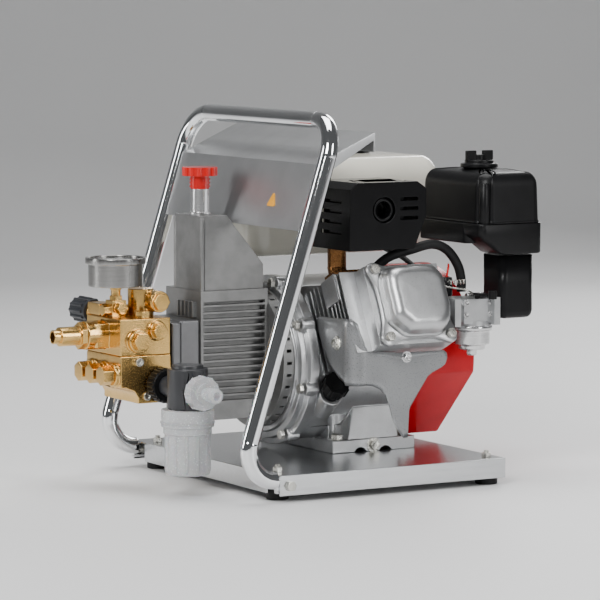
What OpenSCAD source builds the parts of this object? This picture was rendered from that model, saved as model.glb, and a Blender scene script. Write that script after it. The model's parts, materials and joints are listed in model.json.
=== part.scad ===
// Petrol-engine pressure washer on a sheet-metal base with a leaning tube hoop.
// +X runs along the crankshaft, from the pump to the recoil starter. -Y is the valve cover side.
// The origin is on the ground, under the middle of the whole machine.

/* [Base] */
// Length of the base plate along the crankshaft
plate_l = 300; // [294:1:306]
// Width of the base plate
plate_w = 357; // [353:1:363]
// Height of the folded edge of the plate
flange_h = 23; // [20:1:25]
// Thickness of the plate
plate_t = 2; // [1.5:0.5:2.5]
// Diameter of each rubber foot
foot_d = 26; // [22:1:30]

/* [Hoop] */
// Diameter of the hoop tube
tube_d = 20; // [18:1:21]
// Height of the middle of the top bar above the ground
hoop_top = 424; // [418:1:430]
// Lean of the legs from the vertical
lean = 17.5; // [17:0.5:18]

/* [Engine] */
// Height of the crankshaft above the ground
crank_z = 136; // [135.5:0.5:136.5]
// Angle of the cylinder above the horizontal
cyl_tilt = 25; // [24.5:0.5:25.5]
// Bore of the cylinder
bore_d = 68; // [60:1:70]

/* [Pump] */
// Spacing of the row of pressure plugs
plug_gap = 28; // [26:1:28]
// Diameter of each plunger
plunger_d = 15; // [12:1:16]
// Thread diameter of the outlet nipple
outlet_d = 22; // [20:1:24]
// Diameter of the gauge case
gauge_d = 63; // [60:1:66]

/* [Hidden] */
$fn = 64;
gap = 0.3;                                  // clearance between curved faces of different pieces
foot_h = 8;                                 // part of each foot that shows below the plate
plate_mid = [57.5, -4.5];
plate_x = [plate_mid[0] - plate_l / 2, plate_mid[0] + plate_l / 2];
plate_y = [plate_mid[1] - plate_w / 2, plate_mid[1] + plate_w / 2];
deck = foot_h + flange_h;                   // top of the plate
foot_at = [[plate_x[0] + 16, plate_y[0] + 34], [plate_x[1] - 15, plate_y[0] + 18],
    [plate_x[0] + 16, plate_y[1] - 34], [plate_x[1] - 15, plate_y[1] - 18]];
bolt_d = 6;
hole_d = bolt_d + 0.6;
leg_y = [plate_y[0] + 8.7, plate_y[1] - 8.7];
bend_r = 34;                                // bottom bend of the hoop, on the tube's middle
corner_r = 42;                              // top bend of the hoop
seam = 0.02;                                // hairline at each weld of the hoop
hoop_low = 25;                              // height of the tube where it enters the plate
top_x = -14;                                // where the top bar's middle lies
leg_len = (hoop_top - hoop_low) / cos(lean);
bend_reach = bend_r * tan((90 + lean) / 2);
low_x = top_x - (hoop_top - hoop_low) * tan(lean);
tab_bolt = [plate_x[0] + 13, 19];
// hood
hood_low = 302;
hood_fold = 376;
hood_back = [42, 410];
hood_lip = 22;
hood_t = 2;
hood_y = [leg_y[0] + tube_d / 2 + gap, leg_y[1] - tube_d / 2 - gap];
hood_bolt_z = [318, 360];
// engine
crank_y = 28;
cyl_x = 104;
vc_x = 109;
deck_s = 75;                                // crank axis to the foot of the cylinder
head_s = 112;
cover_s = 175;
shaft_r = 12.5;
engine_bolts = [[62, -46], [150, -46], [62, 104], [150, 104]];
engine_foot_h = 15;
neck_at = [40, -44, 84];                     // foot of the oil filler neck
// gearbox and pump
box_x = [-102.5, -14];
box_y = [-17, 69];
box_z = [75, 225];
pump_y = 26;
pump_z = 168;
pinion_teeth = 16;
wheel_teeth = 24;
block_x = [-206, -142];
split_z = 155;
outlet_z = 177;
inlet_x = -156;
inlet_z = 121;
strainer_y = -84;
gauge_x = -190;
gauge_z = 232;
knob_at = [-194, 199];

module box3(x, y, z) { translate([x[0], y[0], z[0]]) cube([x[1] - x[0], y[1] - y[0], z[1] - z[0]]); }
module rod_x(x, r, y, z) { translate([x[0], y, z]) rotate([0, 90, 0]) cylinder(h = x[1] - x[0], r = r); }
module rod_y(y, r, x, z) { translate([x, y[0], z]) rotate([-90, 0, 0]) cylinder(h = y[1] - y[0], r = r); }
module rod_z(z, r, x, y) { translate([x, y, z[0]]) cylinder(h = z[1] - z[0], r = r); }
module hex_x(x, r, y, z) { translate([x[0], y, z]) rotate([0, 90, 0]) cylinder(h = x[1] - x[0], r = r, $fn = 6); }
module hex_y(y, r, x, z) { translate([x, y[0], z]) rotate([-90, 0, 0]) cylinder(h = y[1] - y[0], r = r, $fn = 6); }
module hex_z(z, r, x, y) { translate([x, y, z[0]]) cylinder(h = z[1] - z[0], r = r, $fn = 6); }
// rectangle with round corners, on its middle
module round_rect(w, d, r) {
    square([w - 2 * r, d], center = true);
    square([w, d - 2 * r], center = true);
    for (sx = [-1, 1], sy = [-1, 1]) translate([sx * (w / 2 - r), sy * (d / 2 - r)]) circle(r);
}
module round_box(x, y, z, r) {
    translate([(x[0] + x[1]) / 2, (y[0] + y[1]) / 2, z[0]])
        linear_extrude(z[1] - z[0]) round_rect(x[1] - x[0], y[1] - y[0], r);
}
// local z runs from the crankshaft along the cylinder, local y across it, upwards
module along_cylinder(x = cyl_x) {
    translate([x, crank_y, crank_z]) rotate([90 - cyl_tilt, 0, 0]) children();
}

// ---- base ----
module base_plate() {
    color("gainsboro") difference() {
        box3(plate_x, plate_y, [foot_h, deck]);
        box3(plate_x + [plate_t, -plate_t], plate_y + [plate_t, -plate_t], [0, deck - plate_t]);
        for (y = [plate_y[0], plate_y[1] - 30])
            box3([plate_x[0] - 1, plate_x[0] + plate_t + 1], [y + (y < 0 ? plate_t : 0), y + 30 - (y < 0 ? 0 : plate_t)],
                [0, deck - plate_t]);
        for (p = foot_at) rod_z([0, 50], hole_d / 2, p[0], p[1]);
        for (p = engine_bolts) rod_z([0, 50], 4.3, p[0], p[1]);
        rod_y([plate_y[0] - 5, plate_y[1] + 5], hole_d / 2, tab_bolt[0], tab_bolt[1]);
    }
}
module hoop_half(side) {
    y = leg_y[side];
    up = leg_len - corner_r;
    // straight leg, with a core that runs into both bends across the weld seams
    translate([top_x, y, hoop_top]) rotate([0, lean, 0]) translate([0, 0, bend_reach - leg_len]) {
        translate([0, 0, seam]) cylinder(h = up - bend_reach - 2 * seam, d = tube_d);
        translate([0, 0, -1]) cylinder(h = up - bend_reach + 2, d = tube_d - 2);
    }
    // bottom bend
    translate([low_x + bend_reach, y, hoop_low + bend_r]) rotate([90, 0, 0])
        rotate_extrude(angle = 90 + lean, start = 180 - lean) translate([bend_r, 0]) circle(d = tube_d);
    // flattened end
    tab = side == 0 ? [plate_y[0] + plate_t, plate_y[0] + 8] : [plate_y[1] - 8, plate_y[1] - plate_t];
    box3([low_x + bend_reach - 2, low_x + bend_reach + 30], tab, [11, 27]);
    // top bend, in the leaning plane
    translate([top_x, y, hoop_top]) rotate([0, lean, 0])
        translate([0, side == 0 ? corner_r : -corner_r, -corner_r])
            rotate([0, 90, 0]) rotate([0, 0, side == 0 ? 180 : 90])
                rotate_extrude(angle = 90) translate([corner_r, 0]) circle(d = tube_d);
}
module frame_hoop() {
    color("silver") difference() {
        union() {
            for (side = [0, 1]) hoop_half(side);
            rod_y([leg_y[0] + corner_r + seam, leg_y[1] - corner_r - seam], tube_d / 2, top_x, hoop_top);
            rod_y([leg_y[0] + corner_r - 1, leg_y[1] - corner_r + 1], tube_d / 2 - 1, top_x, hoop_top);
        }
        rod_y([plate_y[0] - 5, plate_y[1] + 5], hole_d / 2, tab_bolt[0], tab_bolt[1]);
        for (z = hood_bolt_z)
            rod_y([leg_y[0] + 2, leg_y[1] - 2], hole_d / 2, leg_x(z) + 4, z);
    }
}
module rubber_feet() {
    color("dimgray") for (p = foot_at) difference() {
        rod_z([0, deck - plate_t], foot_d / 2, p[0], p[1]);
        rod_z([5, 40], hole_d / 2, p[0], p[1]);
    }
}
module base_bolts() {
    color("lightgray") {
        for (p = foot_at) {
            hex_z([deck, deck + 5], 6, p[0], p[1]);
            rod_z([6, deck + 8], bolt_d / 2, p[0], p[1]);
        }
        for (p = engine_bolts) {
            hex_z([deck + engine_foot_h, deck + engine_foot_h + 6], 7.5, p[0], p[1]);
            rod_z([deck - 12, deck + engine_foot_h + 1], 4, p[0], p[1]);
            hex_z([deck - plate_t - 6, deck - plate_t], 7.5, p[0], p[1]);
        }
    }
}
function leg_x(z) = top_x - (hoop_top - z) * tan(lean);
function hood_front(z) = leg_x(z) - 5;
module hood() {
    f = hood_front(hood_low);
    g = hood_front(hood_fold);
    t = hood_t;
    color("gainsboro") difference() {
        union() {
            translate([0, hood_y[1], 0]) rotate([90, 0, 0]) linear_extrude(hood_y[1] - hood_y[0]) polygon([
                [f, hood_low], [g, hood_fold], hood_back, [hood_back[0], hood_back[1] - hood_lip],
                [hood_back[0] - t, hood_back[1] - hood_lip], [hood_back[0] - t, hood_back[1] - 1.5 * t],
                [g + t, hood_fold - t], [f + t, hood_low]]);
            // folded ends
            for (y = [hood_y[0] + t, hood_y[1]]) translate([0, y, 0]) rotate([90, 0, 0]) linear_extrude(t)
                polygon([[f, hood_low], [g, hood_fold], [hood_back[0], hood_back[1]],
                    [hood_back[0], hood_back[1] - 8], [g + 18, hood_fold - 8], [f + 18, hood_low]]);
        }
        for (z = hood_bolt_z) rod_y([hood_y[0] - 5, hood_y[1] + 5], hole_d / 2, leg_x(z) + 4, z);
    }
}
module frame_bolts() {
    color("lightgray") for (s = [-1, 1]) {
        y = s < 0 ? plate_y[0] : plate_y[1];
        hex_y(s < 0 ? [y - 5, y] : [y, y + 5], 6, tab_bolt[0], tab_bolt[1]);
        rod_y(s < 0 ? [y - 1, y + 14] : [y - 14, y + 1], bolt_d / 2, tab_bolt[0], tab_bolt[1]);
    }
    color("lightgray") for (z = hood_bolt_z, s = [0, 1]) {
        x = leg_x(z) + 4;
        y = s == 0 ? hood_y[0] + hood_t : hood_y[1] - hood_t;
        hex_y(s == 0 ? [y, y + 4] : [y - 4, y], 6, x, z);
        rod_y(s == 0 ? [y - 6, y + 1] : [y - 1, y + 6], bolt_d / 2, x, z);
    }
}

// ---- gearbox ----
filler_at = [-85, 17];
fin_pitch = 8;
fin_rows = 14;
module gearbox_housing() {
    tower_x = [box_x[0] + 2, -66];
    tower_y = [box_y[0] + 4, 50];
    tower_z = 311;
    color("darkgray") difference() {
        union() {
            box3(box_x, box_y + [9, -9], box_z);
            box3(box_x, box_y, [box_z[0], box_z[0] + 22]);
            box3(box_x, box_y, [box_z[1] - 13, box_z[1]]);
            for (i = [0:fin_rows - 1])
                box3(box_x, box_y, [102 + i * fin_pitch, 104.4 + i * fin_pitch]);
            for (x = [box_x[0], box_x[1] - 4]) box3([x, x + 4], box_y, box_z);
            translate([0, tower_y[1], 0]) rotate([90, 0, 0]) linear_extrude(tower_y[1] - tower_y[0])
                polygon([[tower_x[0], box_z[1] - 1], [tower_x[0], tower_z], [tower_x[1], tower_z],
                    [-18, 253], [-18, box_z[1] - 1]]);
            for (y = tower_y) rod_z([box_z[1] - 1, tower_z - 3], 3, tower_x[0] + 2, y);
            for (i = [0:4]) box3([box_x[0] - 5, box_x[0] + 1], [-6 + i * 9, -3 + i * 9], [194, 212]);
        }
        // room for the gears, open to the engine
        box3([box_x[0] + 8, box_x[1] + 1], box_y + [12, -12], [box_z[0] + 10, box_z[1] - 10]);
        box3([tower_x[0] + 7, tower_x[1] - 6], tower_y + [7, -7], [box_z[1] - 11, tower_z - 6]);
        rod_x([box_x[0] - 6, box_x[0] + 9], 9.05, pump_y, pump_z);
        for (p = plungers) rod_x([box_x[0] - 6, box_x[0] + 9], plunger_d / 2 + 0.05, p[0], p[1]);
        rod_z([tower_z - 8, tower_z + 1], 8, filler_at[0], filler_at[1]);
    }
}
module adapter_flange() {
    color("darkgray") difference() {
        rod_x([-14, 0], 82, crank_y, crank_z + 4);
        rod_x([-10, 1], 74, crank_y, crank_z + 4);
        rod_x([-15, 1], 34, crank_y, crank_z);
        for (a = [0:10:350]) translate([0, crank_y, crank_z + 4]) rotate([a, 0, 0])
            box3([-9, -3], [-1.6, 1.6], [72, 90]);
    }
}
module oil_filler_pipe() {
    color("silver") difference() {
        union() {
            rod_z([311, 341], 10.5, filler_at[0], filler_at[1]);
            rod_z([311, 314], 13, filler_at[0], filler_at[1]);
        }
        rod_z([310, 342], 8.5, filler_at[0], filler_at[1]);
    }
}
module oil_cap() {
    x = filler_at[0];
    y = filler_at[1];
    color("red") {
        rod_z([341, 356], 11, x, y);
        rod_z([328, 342], 8.2, x, y);
        for (z = [343, 347, 351]) rod_z([z, z + 2], 12.3, x, y);
        rod_z([356, 366], 17, x, y);
        for (a = [0:30:330]) rod_z([356, 366], 3, x + 17.5 * cos(a), y + 17.5 * sin(a));
    }
}
// a toothed wheel with straight flanks, axis along x
module gear_2d(teeth, m) {
    r = teeth * m / 2;
    difference() {
        circle(r + 0.8 * m);
        for (i = [0:teeth - 1]) rotate(i * 360 / teeth)
            polygon([[r - 1.15 * m, -0.66 * m], [r + 1.2 * m, -1.26 * m], [r + 1.2 * m, 1.26 * m],
                [r - 1.15 * m, 0.66 * m]]);
    }
}
module pinion_gear() {
    color("slategray") translate([-52, crank_y, crank_z]) rotate([0, 90, 0]) linear_extrude(20) difference() {
        rotate(gear_turn) gear_2d(pinion_teeth, gear_mod);
        circle(9.05);
    }
}
// line between the two gear axes, measured from +z towards -y
gear_line = atan2(-(pump_y - crank_y), pump_z - crank_z);
gear_dist = norm([pump_y - crank_y, pump_z - crank_z]);
gear_mod = 2 * gear_dist / (pinion_teeth + wheel_teeth);
gear_turn = 180 + gear_line + 180 / pinion_teeth;
module pump_gear() {
    color("slategray") {
        translate([-52, pump_y, pump_z]) rotate([0, 90, 0]) linear_extrude(20)
            rotate(gear_line) gear_2d(wheel_teeth, gear_mod);
        rod_x([-102, -22], 9, pump_y, pump_z);
        // disc that drives the plungers
        rod_x([-93, -85], 30.5, pump_y, pump_z);
    }
}

// ---- pump ----
plunger_ring = 22;
plungers = [for (i = [0:2]) [pump_y + plunger_ring * sin(120 * i), pump_z - plunger_ring * cos(120 * i)]];
plug_z = 133;
plug_ys = [for (i = [-1:1]) pump_y + i * plug_gap];
plunger_x = [-152, -93.5];
module pump_flange() {
    color("silver") difference() {
        union() {
            box3([-128, box_x[0]], [box_y[0] + 3, box_y[1] - 3], [112, 192]);
            box3([-139.5, -128], [box_y[0], box_y[1]], [118, 190]);
        }
        for (p = plungers) rod_x([-141, -100], plunger_d / 2 + 0.05, p[0], p[1]);
    }
}
module seal_rings() {
    color("black") for (p = plungers) difference() {
        rod_x([block_x[1], -139.5], 12.5, p[0], p[1]);
        rod_x([block_x[1] - 1, -139], plunger_d / 2 + 0.05, p[0], p[1]);
    }
}
module plunger(i) { color("white") rod_x(plunger_x, plunger_d / 2, plungers[i][0], plungers[i][1]); }
module plunger_1() { plunger(0); }
module plunger_2() { plunger(1); }
module plunger_3() { plunger(2); }
module pump_manifold() {
    color("goldenrod") difference() {
        union() {
            box3(block_x, box_y, [split_z, 197]);
            // outlet boss
            rod_x([-232, block_x[0] + 1], 16.5, pump_y, outlet_z);
            box3([-222, block_x[0] + 1], [pump_y - 15, pump_y + 15], [outlet_z - 14, outlet_z + 14]);
            // front bosses
            rod_y([box_y[0] - 7, box_y[0] + 1], 13.5, -184, 172);
            rod_y([box_y[0] - 6, box_y[0] + 1], 11, -160, 183);
        }
        for (p = plungers) rod_x([-166, block_x[1] + 1], plunger_d / 2 + 0.05, p[0], p[1]);
        rod_x([-240, -206], 6, pump_y, outlet_z);
    }
}
module valve_block() {
    color("goldenrod") difference() {
        union() {
            box3(block_x, box_y, [100, split_z]);
            // collar around the three pressure plugs
            for (y = plug_ys) rod_x([block_x[0] - 5, block_x[0] + 1], 13.5, y, plug_z);
            rod_y([box_y[0] - 3, box_y[0] + 1], 15, inlet_x, inlet_z);
        }
        // the lower part steps back under the pressure plugs
        translate([0, box_y[1] + 1, 0]) rotate([90, 0, 0]) linear_extrude(box_y[1] - box_y[0] + 2) polygon([
            [block_x[0] - 6, 99], [block_x[0] - 6, 119], [-200, 119], [-188, 114], [-184, 107], [-184, 99]]);
        rod_y([box_y[0] - 4, box_y[0] + 40], 9, inlet_x, inlet_z);
        for (p = plungers) rod_x([-166, block_x[1] + 1], plunger_d / 2 + 0.05, p[0], p[1]);
        for (p = screw_at) rod_y([box_y[0] - 5, box_y[0] + 12], 3.4, p[0], p[1]);
    }
}
screw_at = [[-184, 148, 6], [-172.5, 108.2, 2.7]];   // x, z and height of the head
module pressure_plugs() {
    color("darkkhaki") {
        for (y = plug_ys) hex_x([-225, block_x[0] - 5], 11.5, y, plug_z);
        hex_y([box_y[0] - 14, box_y[0] - 7], 11, -184, 172);
        hex_y([box_y[0] - 12, box_y[0] - 6], 9.3, -160, 183);
        for (p = [[-172, -6], [-150, 60]]) hex_z([197, 205], 9, p[0], p[1]);
    }
}
module manifold_screws() {
    color("dimgray") for (p = screw_at) difference() {
        union() {
            rod_y([box_y[0] - p[2], box_y[0]], 5, p[0], p[1]);
            rod_y([box_y[0] - 1, box_y[0] + 10], 3, p[0], p[1]);
        }
        hex_y([box_y[0] - p[2] - 1, box_y[0] - p[2] / 2], 2.8, p[0], p[1]);
    }
}
unloader_x = -158;
module unloader_valve() {
    color("goldenrod") {
        rod_z([197, 228], 15, unloader_x, pump_y);
        rod_y([-3, pump_y], 12.5, unloader_x + 10, 214);
        hex_y([-9, -3], 10.5, unloader_x + 10, 214);
        box3([knob_at[0], unloader_x - 8], [pump_y + 14, pump_y + 26], [197, 208]);
        box3([-176, -160], [pump_y + 8, pump_y + 26], [197, 208]);
        box3([knob_at[0] - 10, knob_at[0] + 10], [pump_y + 14, 70], [197, 211]);
        rod_y([69, 74], 11, knob_at[0], knob_at[1]);
    }
}
module regulator_knob() {
    x = knob_at[0];
    z = knob_at[1];
    color("dimgray") {
        rod_y([74 + gap, 112], 13.5, x, z);
        for (a = [0:30:330]) rod_y([80, 110], 2, x + 13.5 * cos(a), z + 13.5 * sin(a));
    }
}
module outlet_nipple() {
    color("darkkhaki") difference() {
        union() {
            hex_x([-239, -232], 16, pump_y, outlet_z);
            rod_x([-263, -239], outlet_d / 2, pump_y, outlet_z);
            rod_x([-271, -263], outlet_d / 2 - 3, pump_y, outlet_z);
        }
        rod_x([-272, -231], 6, pump_y, outlet_z);
    }
}
module gauge_stem() {
    color("goldenrod") {
        box3([gauge_x - 9, gauge_x + 9], [pump_y - 9, pump_y + 9], [197, 216]);
        hex_z([216, 221], 8, gauge_x, pump_y);
        rod_z([221, gauge_z - 4], 5.5, gauge_x, pump_y);
        hex_z([gauge_z - 4, gauge_z], 7.5, gauge_x, pump_y);
        for (s = [-1, 1]) hex_y(s < 0 ? [pump_y - 19, pump_y - 9] : [pump_y + 9, pump_y + 13], 7, gauge_x, 207);
        hex_x([gauge_x - 18, gauge_x - 9], 7, pump_y, 205);
    }
}
module gauge_case() {
    color("silver") difference() {
        union() {
            rod_z([gauge_z, gauge_z + 27], gauge_d / 2, gauge_x, pump_y);
            rod_z([gauge_z + 26, gauge_z + 33], gauge_d / 2 + 3.5, gauge_x, pump_y);
        }
        rod_z([gauge_z + 3, gauge_z + 28], gauge_d / 2 - 1.5, gauge_x, pump_y);
        rod_z([gauge_z + 27, gauge_z + 34], gauge_d / 2, gauge_x, pump_y);
    }
}
module gauge_lens() { color("lightcyan") rod_z([gauge_z + 28, gauge_z + 31], gauge_d / 2 - gap, gauge_x, pump_y); }
module gauge_needle() {
    color("black") translate([gauge_x, pump_y, gauge_z + 22]) {
        cylinder(h = 3, r = 3.5);
        rotate(225) box3([-6, 24], [-0.8, 0.8], [1, 2]);
        translate([0, 0, -14]) cylinder(h = 15, r = 1.5);
    }
}

// ---- inlet strainer ----
module inlet_nut() {
    y0 = box_y[0] - 3;
    color("black") difference() {
        union() {
            rod_y([y0 - 18, y0], 18.5, inlet_x, inlet_z);
            for (a = [0:15:345]) rod_y([y0 - 17, y0 - 2], 1.8, inlet_x + 18.5 * cos(a), inlet_z + 18.5 * sin(a));
        }
        rod_y([y0 - 19, y0 + 1], 12.3, inlet_x, inlet_z);
    }
}
module strainer_head() {
    color("dimgray") difference() {
        union() {
            rod_y([strainer_y, box_y[0] - 4], 12, inlet_x, inlet_z);
            rod_z([100, 146], 23, inlet_x, strainer_y);
            rod_z([146, 150], 18, inlet_x, strainer_y);
            rod_y([strainer_y - 27, strainer_y], 13, inlet_x, inlet_z);
        }
        rod_y([strainer_y - 28, 0], 7, inlet_x, inlet_z);
        rod_z([99, inlet_z + 4], 15, inlet_x, strainer_y);
    }
}
module strainer_bowl() {
    color("whitesmoke") difference() {
        union() {
            rod_z([80, 99.7], 30, inlet_x, strainer_y);
            rod_z([84, 86], 31, inlet_x, strainer_y);
            rod_z([72, 80], 27.5, inlet_x, strainer_y);
            rod_z([26, 74], 25, inlet_x, strainer_y);
            for (a = [0:30:330]) rod_z([30, 74], 1.6, inlet_x + 24.6 * cos(a), strainer_y + 24.6 * sin(a));
        }
        rod_z([29, 100], 22, inlet_x, strainer_y);
    }
}
module strainer_mesh() {
    color("lightgray") difference() {
        rod_z([32, 103], 13, inlet_x, strainer_y);
        rod_z([34, 104], 11.5, inlet_x, strainer_y);
    }
}
module hose_barb() {
    y0 = strainer_y - 27 - gap;
    color("whitesmoke") difference() {
        union() {
            rod_y([y0 - 14, y0], 18.5, inlet_x, inlet_z);
            for (a = [0:30:330]) rod_y([y0 - 13, y0 - 1], 2, inlet_x + 17.8 * cos(a), inlet_z + 17.8 * sin(a));
            rod_y([y0 - 18, y0 - 13], 12, inlet_x, inlet_z);
            rod_y([y0 - 42, y0 - 17], 7, inlet_x, inlet_z);
            for (i = [0:3]) rod_y([y0 - 41 + i * 5, y0 - 38.5 + i * 5], 8, inlet_x, inlet_z);
        }
        rod_y([y0 - 43, y0 + 1], 4.5, inlet_x, inlet_z);
    }
}

// ---- engine ----
module crank_disc(x, r) { rod_x(x, r, crank_y, crank_z); }
module crankcase() {
    color("silver") difference() {
        union() {
            intersection() {
                crank_disc([24, 152], 98);
                box3([0, 200], [-200, 200], [deck + engine_foot_h - 1, 400]);
            }
            box3([50, 162], [-57, 115], [deck, deck + engine_foot_h]);
            box3([56, 152], [-36, 92], [deck + 1, 100]);
            // sump with a sloping top and ends, between the foot bolts
            intersection() {
                translate([69, 0, 0]) rotate([90, 0, 90]) linear_extrude(73)
                    polygon([[-56, 45], [-56, 84], [-45, 97], [0, 97], [0, 45]]);
                translate([0, 1, 0]) rotate([90, 0, 0]) linear_extrude(60)
                    polygon([[71, 44], [80, 98], [130, 98], [140, 44]]);
            }
            translate(neck_at) rotate([50, 0, 0]) cylinder(h = 40, r = 15);
            along_cylinder() translate([-52, -52, 40]) cube([104, 104, deck_s - 40]);
        }
        crank_disc([34, 142], 70);
        crank_disc([20, 153], shaft_r + 0.05);
        crank_disc([20, 35], 60);
        along_cylinder() cylinder(h = 90, d = bore_d + 2);
        along_cylinder() translate([-80, -90, deck_s]) cube([160, 180, 100]);
        translate(neck_at) rotate([50, 0, 0]) cylinder(h = 60, r = 10);
        for (p = engine_bolts) rod_z([deck - 1, 70], 4.3, p[0], p[1]);
        for (p = engine_bolts) rod_z([deck + engine_foot_h, deck + engine_foot_h + 30], 11, p[0], p[1]);
        for (x = [88, 122]) rod_y([-60, -30], 9, x, deck - 4);
    }
}
module side_cover() {
    color("silver") difference() {
        union() {
            crank_disc([12, 24], 100);
            crank_disc([4, 13], 92);
            crank_disc([0, 5], 84);
            for (a = [15:45:330]) translate([0, crank_y, crank_z]) rotate([a, 0, 0])
                rod_x([6.5, 23], 8, 0, 96);
        }
        crank_disc([-1, 25], shaft_r + 0.05);
        crank_disc([8, 25], 60);
        box3([-1, 30], [-200, 200], [0, deck + gap]);
    }
}
module crankshaft() {
    color("slategray") {
        crank_disc([-52, -31], 9);
        crank_disc([-31.5, 84], shaft_r);
        crank_disc([84, 94], 40);
        rod_x([94, 114], 15, crank_y, crank_z + 22.5);
        crank_disc([114, 124], 40);
        crank_disc([124, 228], shaft_r);
    }
}
flywheel_r = 80;
module flywheel() {
    color("gray") difference() {
        union() {
            crank_disc([176, 198], flywheel_r);
            for (a = [0:24:336]) translate([0, crank_y, crank_z]) rotate([a, 0, 0])
                box3([197, 216], [-1.5, 1.5], [44, flywheel_r]);
            crank_disc([197, 216], 26);
        }
        crank_disc([175, 217], shaft_r + 0.02);
        crank_disc([170, 188], flywheel_r - 12);
    }
}
module cylinder_barrel() {
    color("silver") along_cylinder() difference() {
        union() {
            translate([-46, -46, deck_s + gap]) cube([92, 92, head_s - deck_s - gap]);
            for (i = [0:3]) translate([-64, -46, deck_s + 4 + i * 9]) cube([118, 100, 2.4]);
        }
        translate([0, 0, deck_s - 1]) cylinder(h = 60, d = bore_d);
    }
}
module cylinder_head() {
    port_x = 50 - cyl_x;
    color("silver") along_cylinder() difference() {
        union() {
            translate([-46, -48, head_s]) cube([100, 96, cover_s - head_s]);
            for (i = [0:5]) translate([-66, -48, head_s + i * 8]) cube([116, 98, 2.4]);
            translate([port_x - 14, 20, head_s + 2]) cube([40, 28 + 4, 30]);
        }
        translate([0, 0, head_s - 1]) cylinder(h = 12, d = bore_d);
        translate([port_x, 30, 130]) rotate([-90, 0, 0]) cylinder(h = 30, r = 9);
        translate([vc_x - cyl_x, 0, cover_s - 20]) cylinder(h = 21, r = 36);
        translate(spark_at + [12, 0, 0]) rotate([0, -90, 0]) cylinder(h = 14, r = 7.05);
        translate(spark_at) rotate([0, -90, 0]) cylinder(h = 24, r = 10.5);
    }
}
module valve_cover() {
    color("silver") along_cylinder(vc_x) difference() {
        union() {
            translate([0, 0, cover_s + gap]) linear_extrude(6) round_rect(92, 92, 20);
            for (sx = [-1, 1], sy = [-1, 1]) if (sx < 0 || sy < 0)
                translate([sx * 41, sy * 41, cover_s + gap]) cylinder(h = 7, r = 9.5);
            translate([0, 0, cover_s + 5]) linear_extrude(18) round_rect(84, 84, 22);
            translate([0, 0, cover_s + 22]) linear_extrude(8) round_rect(74, 74, 20);
        }
        translate([0, 0, cover_s - 1]) linear_extrude(20) round_rect(74, 74, 18);
        for (sx = [-1, 1], sy = [-1, 1]) if (sx < 0 || sy < 0)
            translate([sx * 41, sy * 41, cover_s - 5]) cylinder(h = 20, r = 3.3);
    }
}
module head_fasteners() {
    color("lightgray") {
        along_cylinder(vc_x) for (sx = [-1, 1], sy = [-1, 1]) if (sx < 0 || sy < 0)
            translate([sx * 41, sy * 41, cover_s + gap + 7]) {
                cylinder(h = 5, r = 6, $fn = 6);
                translate([0, 0, -6]) cylinder(h = 7, r = 3);
            }
        for (a = [15:45:330]) translate([0, crank_y, crank_z]) rotate([a, 0, 0]) hex_x([-1, 4], 6, 0, 96);
    }
}
spark_at = [-46, -20, 128];
module spark_plug() {
    color("dimgray") along_cylinder() translate(spark_at) rotate([0, -90, 0]) {
        translate([0, 0, -12]) cylinder(h = 13, r = 7);
        cylinder(h = 5, r = 10, $fn = 6);
        translate([0, 0, 5]) cylinder(h = 7, r = 5);
        translate([0, 0, 10]) cylinder(h = 15, r = 9);
    }
}
pipe_at = [51.5, -63];
module exhaust_pipe() {
    color("peru") difference() {
        union() {
            along_cylinder() translate([pipe_at[0] - cyl_x, 52, 130]) rotate([-90, 0, 0]) cylinder(h = 14, r = 11);
            along_cylinder() translate([pipe_at[0] - cyl_x - 12, 52, 118]) cube([36, 5, 24]);
            translate([pipe_at[0], pipe_at[1], 252]) sphere(11);
            rod_z([252, 279], 11, pipe_at[0], pipe_at[1]);
        }
        rod_z([254, 280], 9, pipe_at[0], pipe_at[1]);
    }
}
muffler_x = [38, 141];
muffler_y = [-115, -30];
muffler_z = [272, 350];
module muffler() {
    color("dimgray") difference() {
        union() {
            round_box(muffler_x + [6, -17], muffler_y + [7, -6], [muffler_z[0] + 7, muffler_z[1] - 8], 12);
            rod_y([muffler_y[0] + 1.8, muffler_y[0] + 8], 13, outlet_at[0], outlet_at[1]);
        }
        rod_y([muffler_y[0] + 1, muffler_y[0] + 20], 10, outlet_at[0], outlet_at[1]);
    }
}
outlet_at = [84, 318];
module guard_outline(d = 0) {
    polygon([[muffler_x[0] + d, muffler_z[0] + d], [muffler_x[1] - 16 - d, muffler_z[0] + d],
        [muffler_x[1] - d, muffler_z[1] - 40], [muffler_x[1] - d, muffler_z[1] - 8 - d],
        [muffler_x[1] - 12, muffler_z[1] - d], [muffler_x[0] + 10, muffler_z[1] - d],
        [muffler_x[0] + d, muffler_z[1] - 8 - d]]);
}
module muffler_guard() {
    color("black") difference() {
        translate([0, muffler_y[1], 0]) rotate([90, 0, 0])
            linear_extrude(muffler_y[1] - muffler_y[0]) guard_outline();
        translate([0, muffler_y[1] + 1, 0]) rotate([90, 0, 0])
            linear_extrude(muffler_y[1] - muffler_y[0] - 0.8) guard_outline(1.8);
        rod_y([muffler_y[0] - 1, muffler_y[0] + 5], 15, outlet_at[0], outlet_at[1]);
        rod_z([muffler_z[0] - 1, muffler_z[0] + 4], 11.5, pipe_at[0], pipe_at[1]);
        for (i = [0:3]) box3([muffler_x[0] - 1, muffler_x[0] + 3], [-96, -50],
            [muffler_z[0] + 18 + i * 12, muffler_z[0] + 22 + i * 12]);
        for (i = [0:2]) box3([106, 130], [muffler_y[0] - 1, muffler_y[0] + 3],
            [muffler_z[1] - 44 + i * 11, muffler_z[1] - 40 + i * 11]);
        for (i = [0:5]) translate([54 + i * 13, muffler_y[0] + 14, muffler_z[1] - 4]) rotate([0, 0, -20])
            cube([4, 44, 6]);
    }
}
sheet_y = -132;
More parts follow.
